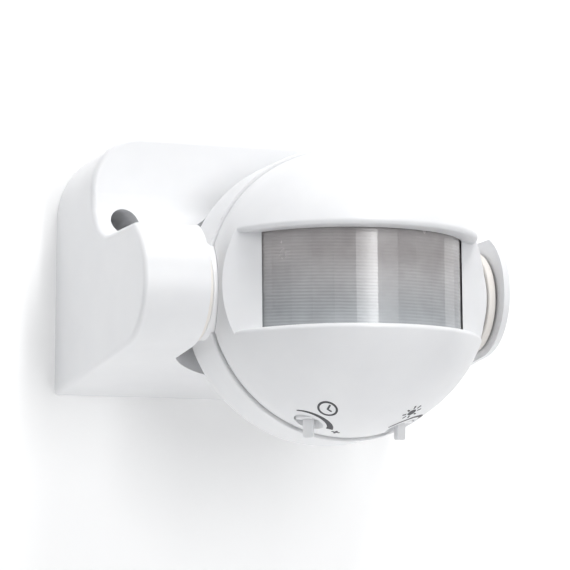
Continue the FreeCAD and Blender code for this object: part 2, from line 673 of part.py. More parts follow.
def head_screws():
    screws = []
    for x, z in screw_positions():
        head = rod(2.6, V(x, CAP_SCREW_SEAT, z), V(x, CAP_SCREW_SEAT + 2.0, z))
        shank = rod(SHANK_RADIUS, V(x, CAP_SCREW_SEAT, z), V(x, -COVER_BOSS_FRONT + 2.5, z))
        slots = [
            box(x - 1.7, x + 1.7, CAP_SCREW_SEAT + 1.0, CAP_SCREW_SEAT + 3, z - 0.35, z + 0.35),
            box(x - 0.35, x + 0.35, CAP_SCREW_SEAT + 1.0, CAP_SCREW_SEAT + 3, z - 1.7, z + 1.7),
        ]
        screws.append(join([head, shank]).cut(group(slots)))
    return group(screws)


def head_seal():
    """Rubber ring squeezed between the skirt of the dome and the step in the head ring."""
    y_axis = V(0, 1, 0)
    thick = SKIRT_BACK - RING_STEP - 0.1
    ring = Part.makeCylinder(RING_SEAT - 0.1, thick, V(0, -SKIRT_BACK + 0.05, 0), y_axis)
    ring = ring.cut(Part.makeCylinder(RING_INNER + 0.3, 3.0, V(0, -SKIRT_BACK - 1, 0), y_axis))
    return ring.cut(group(both_sides(boss_notch())))


def arc_shell(outer_radius, inner_radius, half_angle, low, high):
    """An upright curved sheet about the lens axis, from -half_angle to +half_angle."""
    edges = []
    for radius in (outer_radius, inner_radius):
        left = lens_point(radius, -half_angle)
        right = lens_point(radius, half_angle)
        middle = lens_point(radius, 0)
        edges.append(Part.Arc(left, middle, right).toShape())
    edges.append(Part.makeLine(lens_point(outer_radius, half_angle), lens_point(inner_radius, half_angle)))
    edges.append(Part.makeLine(lens_point(outer_radius, -half_angle), lens_point(inner_radius, -half_angle)))
    face = Part.Face(Part.Wire(Part.__sortEdges__(edges)))
    face.translate(V(0, 0, low))
    return face.extrude(V(0, 0, high - low))


LENS_SPAN = 66.0
LENS_TUCK = 2.4          # how far the lens runs on behind the brow and the chin
FACET_STEP = 9.0         # degrees between the upright lines of the lens
FACET_GROOVE = 0.25


def fresnel_lens():
    inner = LENS_RADIUS - LENS_WALL
    lens = arc_shell(LENS_RADIUS, inner, LENS_SPAN, -CHIN - LENS_TUCK, BROW + LENS_TUCK)
    grooves = []
    count = int(LENS_HALF_ANGLE / FACET_STEP)
    for step in range(-count, count + 1):
        centre = lens_point(inner, step * FACET_STEP)
        grooves.append(rod(FACET_GROOVE, V(centre.x, centre.y, -CHIN), V(centre.x, centre.y, BROW)))
    return lens.cut(group(grooves))


RETAINER_WALL = 1.3
PILLAR_X = 15.5
PILLAR_RADIUS = 2.3


def lens_retainer():
    outer = LENS_RADIUS - LENS_WALL - 0.05
    inner = outer - RETAINER_WALL
    frame = arc_shell(outer, inner, LENS_SPAN - 2.0, -CHIN - LENS_TUCK, BROW + LENS_TUCK)
    opening = arc_shell(outer + 1, inner - 1, LENS_HALF_ANGLE - 1.5, -CHIN - 0.2, BROW + 0.2)
    frame = frame.cut(opening)
    extras = []
    shelf_low = -CHIN - LENS_TUCK
    for side in (-1, 1):
        x = side * PILLAR_X
        arm = box(x - 2.0, x + 2.0, -FAR / 2, -BOARD_FRONT, shelf_low, shelf_low + 2.0)
        extras.append(arm.common(rod(outer, V(0, -LENS_CENTRE, -FAR / 2), V(0, -LENS_CENTRE, FAR / 2))))
        extras.append(rod(PILLAR_RADIUS, V(x, -BOARD_FRONT, shelf_low + 1.0), V(x, -BOARD_FRONT - 6, shelf_low + 1.0)))
    frame = join([frame] + extras)
    cuts = []
    for side in (-1, 1):
        x = side * PILLAR_X
        cuts.append(rod(1.0, V(x, 0, shelf_low + 1.0), V(x, -BOARD_FRONT - 5.0, shelf_low + 1.0)))
    return frame.cut(group(cuts))


def circuit_board():
    y_axis = V(0, 1, 0)
    board = Part.makeCylinder(BOARD_RADIUS, BOARD_THICKNESS, V(0, -BOARD_FRONT, 0), y_axis)
    cuts = []
    for side in (-1, 1):
        x = side * PILLAR_X
        z = -CHIN - LENS_TUCK + 1.0
        cuts.append(rod(1.2, V(x, 0, z), V(x, -10, z)))
    cuts.append(box(-3.0, 3.0, -10, 0, BOARD_RADIUS - 2.5, BOARD_RADIUS + 5))
    return board.cut(group(cuts))


def board_screws():
    screws = []
    z = -CHIN - LENS_TUCK + 1.0
    for side in (-1, 1):
        x = side * PILLAR_X
        head = rod(2.0, V(x, -BOARD_BACK, z), V(x, -BOARD_BACK + 1.3, z))
        shank = rod(0.95, V(x, -BOARD_BACK, z), V(x, -BOARD_FRONT - 4.5, z))
        slot = box(x - 3, x + 3, -BOARD_BACK + 0.7, 5, z - 0.25, z + 0.25)
        screws.append(join([head, shank]).cut(slot))
    return group(screws)


PIR_RADIUS = 4.55
PIR_HEIGHT = 4.3
PIR_STAND = 2.6


def pir_holder():
    start = V(0, -BOARD_FRONT, 0)
    ring = rod(6.4, start, start - V(0, PIR_STAND + 1.6, 0))
    ring = ring.cut(rod(PIR_RADIUS + 0.35, start - V(0, PIR_STAND, 0), start - V(0, 10, 0)))
    return ring.cut(rod(3.0, start + V(0, 1, 0), start - V(0, 10, 0)))


def pir_sensor():
    base = V(0, -BOARD_FRONT - PIR_STAND, 0)
    flange = rod(PIR_RADIUS, base, base - V(0, 0.8, 0))
    can = rod(PIR_RADIUS - 0.5, base, base - V(0, PIR_HEIGHT, 0))
    solid = join([flange, can])
    face = base - V(0, PIR_HEIGHT, 0)
    window = box(-2.0, 2.0, face.y - 1, face.y + 0.25, -1.6, 1.6)
    legs = [rod(0.25, V(1.8 * math.cos(a), -BOARD_FRONT, 1.8 * math.sin(a)),
                V(1.8 * math.cos(a), base.y, 1.8 * math.sin(a)))
            for a in (math.radians(60), math.radians(180), math.radians(300))]
    return join([solid.cut(window)] + legs)


def on_board_back(x0, x1, deep, z0, z1):
    return box(x0, x1, -BOARD_BACK, -BOARD_BACK + deep, z0, z1)


def relay():
    case = on_board_back(3.5, 19.0, 15.0, 0.5, 14.5)
    return case.makeFillet(0.6, [edge for edge in case.Edges if abs(edge.BoundBox.YLength - 15.0) < 0.01])


def film_capacitor():
    case = on_board_back(-4.2, 2.0, 12.0, 1.5, 19.0)
    return case.makeFillet(0.7, [edge for edge in case.Edges if abs(edge.BoundBox.YLength - 12.0) < 0.01])


def electrolytic_capacitor():
    start = V(-9.4, -BOARD_BACK, 11.5)
    can = rod(4.0, start, start + V(0, 13.0, 0))
    top = [edge for edge in can.Edges if edge.BoundBox.YMin > -BOARD_BACK + 12.99]
    return can.makeFillet(0.6, top)


def lead_connector():
    body = on_board_back(-18.0, -9.0, 6.4, -5.0, 5.0)
    socket = rod(LEAD_RADIUS + 0.1, V(-12.0, 0, 0), V(-30.0, 0, 0))
    return body.cut(socket)


def head_lead():
    return rod(LEAD_RADIUS, V(-12.5, 0, 0), V(SPLICE_X, 0, 0))


def indicator_led():
    start = V(-9.5, -BOARD_FRONT, 3.0)
    body = rod(1.5, start, start - V(0, 3.0, 0))
    return join([body, Part.makeSphere(1.5, start - V(0, 3.0, 0)), rod(1.9, start, start - V(0, 0.8, 0))])


def light_sensor():
    start = V(9.5, -BOARD_FRONT, 3.0)
    disc = rod(2.5, start - V(0, 1.2, 0), start - V(0, 3.2, 0))
    legs = [rod(0.25, start + V(s, 0, 0), start + V(s, -1.2, 0)) for s in (-1.2, 1.2)]
    return join([disc] + legs)


CONTROL_Z = -17.2
CONTROL_HALF = 16.6
CONTROL_THICKNESS = 1.6
POT_SIZE = 8.4
POT_HEIGHT = 4.8
KNOB_SHAFT = 1.5


def control_board():
    top = CONTROL_Z
    board = box(-CONTROL_HALF, CONTROL_HALF, -KNOB_OUT - 5.2, -BOARD_FRONT - 0.2, top - CONTROL_THICKNESS, top)
    inside = dome_ball(DOME_RADIUS - DOME_WALL - 0.8)
    return board.common(inside)


def potentiometer(x):
    half = POT_SIZE / 2.0
    top = CONTROL_Z - CONTROL_THICKNESS
    body = box(x - half, x + half, -KNOB_OUT - half, -KNOB_OUT + half, top - POT_HEIGHT, top)
    body = body.makeFillet(0.8, [edge for edge in body.Edges if abs(edge.BoundBox.ZLength - POT_HEIGHT) < 0.01])
    collar = rod(2.6, V(x, -KNOB_OUT, top - POT_HEIGHT), V(x, -KNOB_OUT, top - POT_HEIGHT - 0.8))
    bore = rod(KNOB_SHAFT + 0.08, V(x, -KNOB_OUT, top - 1.5), V(x, -KNOB_OUT, top - POT_HEIGHT - 3))
    return join([body, collar]).cut(bore)


def knob(x, turn):
    """A control knob: a shaft up into its potentiometer, a disc in the dome and a thumb blade."""
    top = CONTROL_Z - CONTROL_THICKNESS
    y = -KNOB_OUT
    surface = math.sqrt(DOME_RADIUS ** 2 - x ** 2 - (KNOB_OUT - DOME_CENTRE) ** 2)
    disc_low = -surface + KNOB_RECESS
    shaft = rod(KNOB_SHAFT, V(x, y, top - 2.0), V(x, y, disc_low))
    disc = rod(KNOB_RADIUS, V(x, y, disc_low + 3.0), V(x, y, disc_low))
    rim = [edge for edge in disc.Edges if edge.BoundBox.ZMax < disc_low + 0.01]
    disc = disc.makeFillet(0.35, rim)
    half = KNOB_BLADE_WIDTH / 2.0
    thin = KNOB_BLADE_THICKNESS / 2.0
    blade = box(x - half, x + half, y - thin, y + thin, -KNOB_BLADE_END, disc_low + 0.5)
    ends = [edge for edge in blade.Edges
            if edge.BoundBox.ZMax < -KNOB_BLADE_END + 0.01 and edge.BoundBox.XLength < 0.01]
    blade = blade.makeFillet(0.6, ends)
    blade.rotate(V(x, y, 0), V(0, 0, 1), turn)
    return join([shaft, disc, blade])


def friction_washer(start, end, bore):
    ring = rod(WASHER_RADIUS, V(start, 0, 0), V(end, 0, 0))
    rims = [edge for edge in ring.Edges if edge.BoundBox.XLength < 0.01]
    ring = ring.makeFillet(0.3, rims)
    return ring.cut(rod(bore, V(start - 1, 0, 0), V(end + 1, 0, 0)))


def left_washer():
    start = BOSS_END + WASHER_GAP
    end = EAR_INNER - WASHER_GAP
    return mirrored(friction_washer(start, end, TRUNNION_RADIUS + 0.05))


def right_washer():
    start = BOSS_END + WASHER_GAP
    end = RIGHT_INNER - RIGHT_WASHER_GAP
    return friction_washer(start, end, SHOULDER_RADIUS + 0.05)


def trunnion():
    flange = rod(FLANGE_RADIUS, V(BOSS_INNER - FLANGE_THICKNESS, 0, 0), V(BOSS_INNER, 0, 0))
    tube = rod(TRUNNION_RADIUS, V(BOSS_INNER - FLANGE_THICKNESS, 0, 0), V(TRUNNION_END, 0, 0))
    solid = join([flange, tube])
    return mirrored(solid.cut(rod(TRUNNION_BORE, V(0, 0, 0), V(FAR, 0, 0))))


def trunnion_nut():
    start = EAR_WALL_END + 0.35
    corner = NUT_FLATS / math.sqrt(3.0)
    points = [V(start, corner * math.cos(math.radians(60 * i)), corner * math.sin(math.radians(60 * i)))
              for i in range(7)]
    prism = Part.Face(Part.makePolygon(points)).extrude(V(NUT_THICKNESS, 0, 0))
    prism = prism.cut(rod(TRUNNION_RADIUS + 0.03, V(start - 1, 0, 0), V(start + NUT_THICKNESS + 1, 0, 0)))
    return mirrored(prism)


PIVOT_WASHER_RADIUS = 5.6
PIVOT_WASHER_THICKNESS = 0.7
PIVOT_HEAD_RADIUS = 4.8
PIVOT_HEAD_HEIGHT = 2.0


def pivot_washer():
    start = V(RIGHT + 0.1, 0, 0)
    end = start + V(PIVOT_WASHER_THICKNESS, 0, 0)
    return rod(PIVOT_WASHER_RADIUS, start, end).cut(rod(SHOULDER_RADIUS + 0.05, V(0, 0, 0), V(FAR, 0, 0)))


def pivot_screw():
    seat = RIGHT + 0.1 + PIVOT_WASHER_THICKNESS
    top = seat + PIVOT_HEAD_HEIGHT
    head = rod(PIVOT_HEAD_RADIUS, V(seat, 0, 0), V(top, 0, 0))
    head = head.makeFillet(1.2, [edge for edge in head.Edges if edge.BoundBox.XMin > top - 0.01])
    shoulder = rod(SHOULDER_RADIUS, V(BOSS_END, 0, 0), V(seat, 0, 0))
    shank = rod(PIVOT_SHANK, V(HUB_INNER + 0.5, 0, 0), V(BOSS_END, 0, 0))
    slots = [box(top - 1.2, top + 1, -2.4, 2.4, -0.45, 0.45), box(top - 1.2, top + 1, -0.45, 0.45, -2.4, 2.4)]
    return join([head, shoulder, shank]).cut(group(slots))


def tilted(shape):
    """Put a head piece at its place: tilted by the resting angle and out at the tilt axis."""
    shape.rotate(V(0, 0, 0), V(1, 0, 0), -REST_TILT)
    return from_axis_frame(shape)


BASE_PIECES = {
    "base_housing": base_housing,
    "back_plate": back_plate,
    "back_plate_screws": back_plate_screws,
    "cable_grommet": cable_grommet,
    "terminal_block": terminal_block,
    "terminal_screws": terminal_screws,
    "cable_clamp": cable_clamp,
    "cable_clamp_screws": cable_clamp_screws,
    "base_lead": base_lead,
}

HEAD_PIECES = {
    "front_cover": front_cover,
    "head_ring": head_ring,
    "rear_cap": rear_cap,
    "head_screws": head_screws,
    "head_seal": head_seal,
    "fresnel_lens": fresnel_lens,
    "lens_retainer": lens_retainer,
    "circuit_board": circuit_board,
    "board_screws": board_screws,
    "pir_sensor": pir_sensor,
    "pir_holder": pir_holder,
    "relay": relay,
    "film_capacitor": film_capacitor,
    "electrolytic_capacitor": electrolytic_capacitor,
    "lead_connector": lead_connector,
    "head_lead": head_lead,
    "indicator_led": indicator_led,
    "light_sensor": light_sensor,
    "control_board": control_board,
    "time_potentiometer": lambda: potentiometer(TIME_KNOB_X),
    "lux_potentiometer": lambda: potentiometer(LUX_KNOB_X),
    "time_knob": lambda: knob(TIME_KNOB_X, -35.0),
    "lux_knob": lambda: knob(LUX_KNOB_X, 15.0),
    "left_washer": left_washer,
    "right_washer": right_washer,
    "trunnion": trunnion,
    "trunnion_nut": trunnion_nut,
    "pivot_washer": pivot_washer,
    "pivot_screw": pivot_screw,
}


def build():
    os.makedirs("parts", exist_ok=True)
    for name, make in BASE_PIECES.items():
        make().exportStep("parts/" + name + ".step")
    for name, make in HEAD_PIECES.items():
        tilted(make()).exportStep("parts/" + name + ".step")


build()
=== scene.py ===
import json
import math

import bmesh
import bpy
from mathutils import Matrix, Vector
from mathutils.bvhtree import BVHTree


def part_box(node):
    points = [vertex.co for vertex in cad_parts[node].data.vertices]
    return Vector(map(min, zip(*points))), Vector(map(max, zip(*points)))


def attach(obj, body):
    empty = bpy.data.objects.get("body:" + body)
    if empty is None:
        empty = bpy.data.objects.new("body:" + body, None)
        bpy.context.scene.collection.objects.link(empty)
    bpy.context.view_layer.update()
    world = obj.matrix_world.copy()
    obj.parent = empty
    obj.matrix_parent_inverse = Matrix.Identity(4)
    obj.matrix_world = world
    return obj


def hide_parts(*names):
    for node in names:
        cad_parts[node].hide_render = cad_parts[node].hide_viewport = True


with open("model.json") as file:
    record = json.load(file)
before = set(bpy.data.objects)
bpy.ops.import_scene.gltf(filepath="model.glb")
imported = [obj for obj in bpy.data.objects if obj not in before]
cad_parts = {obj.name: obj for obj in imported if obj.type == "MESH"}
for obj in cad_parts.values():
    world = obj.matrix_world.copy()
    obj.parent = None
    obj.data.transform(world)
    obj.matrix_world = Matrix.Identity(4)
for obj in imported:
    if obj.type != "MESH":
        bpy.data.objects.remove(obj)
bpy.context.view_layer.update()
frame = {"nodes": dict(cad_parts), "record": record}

MM = 0.001
scene = bpy.context.scene
nodes = frame["nodes"]
joints = {joint["name"]: joint for joint in frame["record"]["behaviour"]["joints"]}
AXIS = Vector(joints["head_tilt"]["pos_m"])
HEAD_UP = Vector(joints["time_knob_turn"]["axis"]).normalized()
HEAD_RIGHT = Vector((1.0, 0.0, 0.0))
HEAD_BACK = HEAD_UP.cross(HEAD_RIGHT).normalized()


def head_point(x, y, z):
    """A point given in the head's own frame: right, back and up from the tilt axis, in metres."""
    return AXIS + HEAD_RIGHT * x + HEAD_BACK * y + HEAD_UP * z


# ---- materials ------------------------------------------------------------------------------

SLOW_SCALE = 55.0                        # slow change of tone over a moulding
GRAIN_SCALE = 4200.0
GRAIN_DEPTH = 0.04 * MM
SKIN_DEPTH = (1.2 * MM, 1.1 * MM, 1.0 * MM)     # how far red, green and blue light goes into plastic
STREAK_SCALE = (300.0, 3000.0, 3000.0)
STREAK_STRENGTH = 0.15
STREAK_DEPTH = 0.03 * MM
LINE_SCALE = 420.0                       # level lines moulded in the lens film
LINE_STRENGTH = 0.45
LINE_DEPTH = 0.08 * MM
CLOUD_SCALE = 90.0                       # uneven milkiness of the film
WARM_DARK, WARM_LIGHT = (0.52, 0.49, 0.49), (0.66, 0.63, 0.63)
COOL_DARK, COOL_LIGHT = (0.49, 0.51, 0.53), (0.60, 0.625, 0.65)
WARM_ABOVE = 8.0 * MM                    # over the tilt axis, where the film is fully warm
COOL_BELOW = 6.0 * MM                    # under the tilt axis, where it is fully cool


def new_material(name):
    made = bpy.data.materials.new(name)
    made.use_nodes = True
    tree = made.node_tree
    return made, tree, tree.nodes["Principled BSDF"]


def noise(tree, scale, detail, roughness=0.6):
    place = tree.nodes.new("ShaderNodeTexCoord")
    made = tree.nodes.new("ShaderNodeTexNoise")
    made.inputs["Scale"].default_value = scale
    made.inputs["Detail"].default_value = detail
    made.inputs["Roughness"].default_value = roughness
    tree.links.new(place.outputs["Object"], made.inputs["Vector"])
    return made


def remap(tree, source, low, high):
    made = tree.nodes.new("ShaderNodeMapRange")
    made.inputs["From Min"].default_value = 0.3
    made.inputs["From Max"].default_value = 0.7
    made.inputs["To Min"].default_value = low
    made.inputs["To Max"].default_value = high
    tree.links.new(source, made.inputs["Value"])
    return made.outputs["Result"]


def tone(tree, source, dark, light):
    made = tree.nodes.new("ShaderNodeMix")
    made.data_type = "RGBA"
    made.inputs[6].default_value = (*dark, 1.0)
    made.inputs[7].default_value = (*light, 1.0)
    tree.links.new(source, made.inputs["Factor"])
    return made.outputs[2]


def bump(tree, shader, source, strength, distance):
    made = tree.nodes.new("ShaderNodeBump")
    made.inputs["Strength"].default_value = strength
    made.inputs["Distance"].default_value = distance
    tree.links.new(source, made.inputs["Height"])
    tree.links.new(made.outputs["Normal"], shader.inputs["Normal"])


def moulded(name, dark, light, rough, grain, coat=0.0, subsurface=0.0):
    """Moulded plastic or rubber: a slow change of tone, uneven gloss and a fine grain."""
    made, tree, shader = new_material(name)
    slow = noise(tree, SLOW_SCALE, 3.0)
    fine = noise(tree, GRAIN_SCALE, 2.0)
    broad = remap(tree, slow.outputs["Fac"], 0.0, 1.0)
    tree.links.new(tone(tree, broad, dark, light), shader.inputs["Base Color"])
    gloss = remap(tree, slow.outputs["Fac"], rough * 0.9, rough * 1.12)
    tree.links.new(gloss, shader.inputs["Roughness"])
    bump(tree, shader, fine.outputs["Fac"], grain, GRAIN_DEPTH)
    shader.inputs["Coat Weight"].default_value = coat
    shader.inputs["Subsurface Weight"].default_value = subsurface
    shader.inputs["Subsurface Radius"].default_value = SKIN_DEPTH
    return made


def brushed(name, dark, light, rough):
    """Turned or rolled metal with fine streaks."""
    made, tree, shader = new_material(name)
    place = tree.nodes.new("ShaderNodeTexCoord")
    stretch = tree.nodes.new("ShaderNodeMapping")
    stretch.inputs["Scale"].default_value = STREAK_SCALE
    streaks = tree.nodes.new("ShaderNodeTexNoise")
    streaks.inputs["Detail"].default_value = 3.0
    streaks.inputs["Scale"].default_value = 1.0
    tree.links.new(place.outputs["Object"], stretch.inputs["Vector"])
    tree.links.new(stretch.outputs["Vector"], streaks.inputs["Vector"])
    level = remap(tree, streaks.outputs["Fac"], 0.0, 1.0)
    tree.links.new(tone(tree, level, dark, light), shader.inputs["Base Color"])
    gloss = remap(tree, streaks.outputs["Fac"], rough * 0.8, rough * 1.25)
    tree.links.new(gloss, shader.inputs["Roughness"])
    bump(tree, shader, streaks.outputs["Fac"], STREAK_STRENGTH, STREAK_DEPTH)
    shader.inputs["Metallic"].default_value = 1.0
    return made


def lens_film():
    """Milky polyethylene film with fine level lines, a little warm above and cool below."""
    made, tree, shader = new_material("lens_film")
    place = tree.nodes.new("ShaderNodeTexCoord")
    lines = tree.nodes.new("ShaderNodeTexWave")
    lines.wave_type = "BANDS"
    lines.bands_direction = "Z"
    lines.inputs["Scale"].default_value = LINE_SCALE
    lines.inputs["Distortion"].default_value = 0.8
    lines.inputs["Detail"].default_value = 2.0
    tree.links.new(place.outputs["Object"], lines.inputs["Vector"])
    cloud = noise(tree, CLOUD_SCALE, 3.0)
    level = remap(tree, cloud.outputs["Fac"], 0.0, 1.0)
    upper = tone(tree, level, WARM_DARK, WARM_LIGHT)
    lower = tone(tree, level, COOL_DARK, COOL_LIGHT)
    apart = tree.nodes.new("ShaderNodeSeparateXYZ")
    tree.links.new(place.outputs["Object"], apart.inputs["Vector"])
    height = tree.nodes.new("ShaderNodeMapRange")
    height.inputs["From Min"].default_value = AXIS.z + WARM_ABOVE
    height.inputs["From Max"].default_value = AXIS.z - COOL_BELOW
    tree.links.new(apart.outputs["Z"], height.inputs["Value"])
    blend = tree.nodes.new("ShaderNodeMix")
    blend.data_type = "RGBA"
    tree.links.new(height.outputs["Result"], blend.inputs["Factor"])
    tree.links.new(upper, blend.inputs[6])
    tree.links.new(lower, blend.inputs[7])
    tree.links.new(blend.outputs[2], shader.inputs["Base Color"])
    tree.links.new(remap(tree, cloud.outputs["Fac"], 0.20, 0.28), shader.inputs["Roughness"])
    bump(tree, shader, lines.outputs["Fac"], LINE_STRENGTH, LINE_DEPTH)
    shader.inputs["Transmission Weight"].default_value = 0.30
    shader.inputs["IOR"].default_value = 1.45
    shader.inputs["Coat Weight"].default_value = 0.45
    shader.inputs["Coat Roughness"].default_value = 0.16
    return made


LOOKS = {
    "white_abs": moulded("white_abs", (0.83, 0.835, 0.85), (0.87, 0.875, 0.885), 0.36, 0.10, 0.06, 0.08),
    "ivory_nylon": moulded("ivory_nylon", (0.78, 0.75, 0.71), (0.84, 0.81, 0.77), 0.42, 0.16, 0.0, 0.1),
    "lens_film": lens_film(),
    "grey_plastic": moulded("grey_plastic", (0.36, 0.37, 0.38), (0.46, 0.47, 0.48), 0.45, 0.2),
    "black_plastic": moulded("black_plastic", (0.03, 0.03, 0.034), (0.06, 0.06, 0.066), 0.5, 0.3),
    "terminal_plastic": moulded("terminal_plastic", (0.76, 0.76, 0.72), (0.84, 0.84, 0.80), 0.35, 0.12),
    "board_green": moulded("board_green", (0.02, 0.14, 0.06), (0.05, 0.24, 0.11), 0.3, 0.35, 0.4),
    "relay_blue": moulded("relay_blue", (0.03, 0.12, 0.38), (0.06, 0.19, 0.50), 0.3, 0.12, 0.2),
    "capacitor_yellow": moulded("capacitor_yellow", (0.62, 0.42, 0.06), (0.78, 0.56, 0.10), 0.3, 0.12, 0.2),
    "capacitor_sleeve": moulded("capacitor_sleeve", (0.015, 0.02, 0.06), (0.03, 0.04, 0.10), 0.28, 0.15, 0.3),
    "steel": brushed("steel", (0.48, 0.48, 0.50), (0.70, 0.70, 0.72), 0.30),
    "brass": brushed("brass", (0.55, 0.38, 0.14), (0.78, 0.60, 0.28), 0.28),
    "rubber": moulded("rubber", (0.028, 0.028, 0.030), (0.060, 0.060, 0.064), 0.72, 0.5),
    "lead_sheath": moulded("lead_sheath", (0.62, 0.62, 0.63), (0.72, 0.72, 0.73), 0.55, 0.2),
    "led_red": moulded("led_red", (0.48, 0.02, 0.015), (0.65, 0.05, 0.04), 0.12, 0.05, 0.6),
    "sensor_can": brushed("sensor_can", (0.55, 0.54, 0.50), (0.74, 0.72, 0.68), 0.25),
}
INK = moulded("marking_ink", (0.045, 0.046, 0.052), (0.075, 0.076, 0.084), 0.5, 0.3)

for part in frame["record"]["subparts"]:
    mesh = nodes[part["node"]].data
    mesh.materials.clear()
    mesh.materials.append(LOOKS[part["material_slot"]])


# ---- the printed markings under the dome ------------------------------------------------------

def surface_tree(node):
    mesh = nodes[node].data
    mesh.calc_loop_triangles()
    points = [vertex.co.copy() for vertex in mesh.vertices]
    return BVHTree.FromPolygons(points, [tuple(tri.vertices) for tri in mesh.loop_triangles])


DOME = surface_tree("front_cover")
INK_HEIGHT = 0.05 * MM
INK_ROOT = 0.02 * MM       # how far the ink goes into the plastic
INK_MERGE = 0.002 * MM
REACH = 60.0 * MM          # a start under the dome, clear of it


def on_dome(x, y, lift):
    """The point of the dome's underside below a place in the head's plan view, lifted off it."""
    start = head_point(x, y, -REACH)
    hit, normal = DOME.ray_cast(start, HEAD_UP)[:2]
    if hit is None:
        return None
    if normal.dot(HEAD_UP) > 0:
        normal = -normal
    return hit + normal * lift


def printed(name, faces):
    """Ink on the dome: each face is a list of plan points, raised to a thin solid layer."""
    made = bmesh.new()
    for face in faces:
        low = [on_dome(x, y, -INK_ROOT) for x, y in face]
        high = [on_dome(x, y, INK_HEIGHT) for x, y in face]
        if any(point is None for point in low + high):
            continue
        under = [made.verts.new(point) for point in low]
        over = [made.verts.new(point) for point in high]
        made.faces.new(over)
        made.faces.new(list(reversed(under)))
        for i in range(len(face)):
            j = (i + 1) % len(face)
            made.faces.new((under[i], under[j], over[j], over[i]))
    bmesh.ops.remove_doubles(made, verts=made.verts, dist=INK_MERGE)
    bmesh.ops.recalc_face_normals(made, faces=made.faces)
    mesh = bpy.data.meshes.new(name)
    made.to_mesh(mesh)
    made.free()
    mesh.materials.append(INK)
    piece = bpy.data.objects.new(name, mesh)
    scene.collection.objects.link(piece)
    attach(piece, "head")


def ring_strip(cx, cy, radius, start, end, wide_start, wide_end, steps):
    """A bent strip round a centre whose width goes evenly from one end to the other."""
    faces = []
    for i in range(steps):
        edge = []
        for k in (i, i + 1):
            part = k / steps
            angle = math.radians(start + (end - start) * part)
            half = (wide_start + (wide_end - wide_start) * part) / 2.0
            edge.append([(cx + (radius + side * half) * math.sin(angle),
                          cy - (radius + side * half) * math.cos(angle)) for side in (-1, 1)])
        faces.append([edge[0][0], edge[0][1], edge[1][1], edge[1][0]])
    return faces


def bar(cx, cy, dx, dy, width, steps=4):
    """A straight strip from a point, cut in short faces so that it follows the dome."""
    length = math.hypot(dx, dy)
    nx = -dy / length * width / 2.0
    ny = dx / length * width / 2.0
    faces = []
    for i in range(steps):
        a = i / steps
        b = (i + 1) / steps
        faces.append([(cx + dx * a + nx, cy + dy * a + ny), (cx + dx * a - nx, cy + dy * a - ny),
                      (cx + dx * b - nx, cy + dy * b - ny), (cx + dx * b + nx, cy + dy * b + ny)])
    return faces


def scaled(faces):
    return [[(x * MM, y * MM) for x, y in face] for face in faces]


def to_head(point):
    """Millimetres right and back from the tilt axis in the head's plan view."""
    offset = Vector(point) - AXIS
    return offset.dot(HEAD_RIGHT) / MM, offset.dot(HEAD_BACK) / MM


time_x, time_y = to_head(joints["time_knob_turn"]["pos_m"])
lux_x, lux_y = to_head(joints["lux_knob_turn"]["pos_m"])

# sizes of the markings, in millimetres and degrees, in the head's plan view
ARC_RADIUS = 4.9
ARC_START = -55.0
ARC_END = 84.0
ARC_THIN = 0.3
TIME_ARC_THICK = 1.6
LUX_ARC_THICK = 1.1
ROUND_STEPS = 40
PLUS_RIGHT, PLUS_BACK = 6.9, 0.6         # from the time knob
PLUS_REACH = 1.0
PLUS_STROKE = 0.5
CLOCK_RIGHT, CLOCK_BACK = 1.2, -8.6      # from the time knob
CLOCK_RADIUS = 2.1
CLOCK_RIM = 0.5
HAND_STROKE = 0.42
SUN_RIGHT, SUN_BACK = -0.6, -8.4         # from the light knob
SUN_RADIUS = 1.0
RAY_COUNT = 8
RAY_START = 1.4
RAY_LENGTH = 0.9
RAY_STROKE = 0.4


def arc_mark(name, x, y, thick):
    faces = ring_strip(x, y, ARC_RADIUS, ARC_START, ARC_END, ARC_THIN, thick, ROUND_STEPS)
    printed(name, scaled(faces))


arc_mark("time_arc", time_x, time_y, TIME_ARC_THICK)
plus_x, plus_y = time_x + PLUS_RIGHT, time_y + PLUS_BACK
printed("time_plus_across", scaled(bar(plus_x - PLUS_REACH, plus_y, 2.0 * PLUS_REACH, 0.0, PLUS_STROKE)))
printed("time_plus_along", scaled(bar(plus_x, plus_y - PLUS_REACH, 0.0, 2.0 * PLUS_REACH, PLUS_STROKE)))

clock_x, clock_y = time_x + CLOCK_RIGHT, time_y + CLOCK_BACK
rim = ring_strip(clock_x, clock_y, CLOCK_RADIUS, 0.0, 360.0, CLOCK_RIM, CLOCK_RIM, ROUND_STEPS)
printed("clock_rim", scaled(rim))
printed("clock_long_hand", scaled(bar(clock_x, clock_y, 0.0, -1.5, HAND_STROKE)))
printed("clock_short_hand", scaled(bar(clock_x - 0.1, clock_y, 1.2, 0.3, HAND_STROKE)))

arc_mark("lux_arc", lux_x, lux_y, LUX_ARC_THICK)
sun_x, sun_y = lux_x + SUN_RIGHT, lux_y + SUN_BACK
disc = ring_strip(sun_x, sun_y, SUN_RADIUS / 2.0, 0.0, 360.0, SUN_RADIUS, SUN_RADIUS, ROUND_STEPS // 2)
printed("sun_disc", scaled(disc))
rays = []
for ray in range(RAY_COUNT):
    angle = math.radians(360.0 / RAY_COUNT * ray)
    along_x, along_y = math.cos(angle), math.sin(angle)
    rays.extend(bar(sun_x + RAY_START * along_x, sun_y + RAY_START * along_y,
                    RAY_LENGTH * along_x, RAY_LENGTH * along_y, RAY_STROKE, 2))
printed("sun_rays", scaled(rays))


# ---- the lens: a film of upright facets in two rows -----------------------------------------

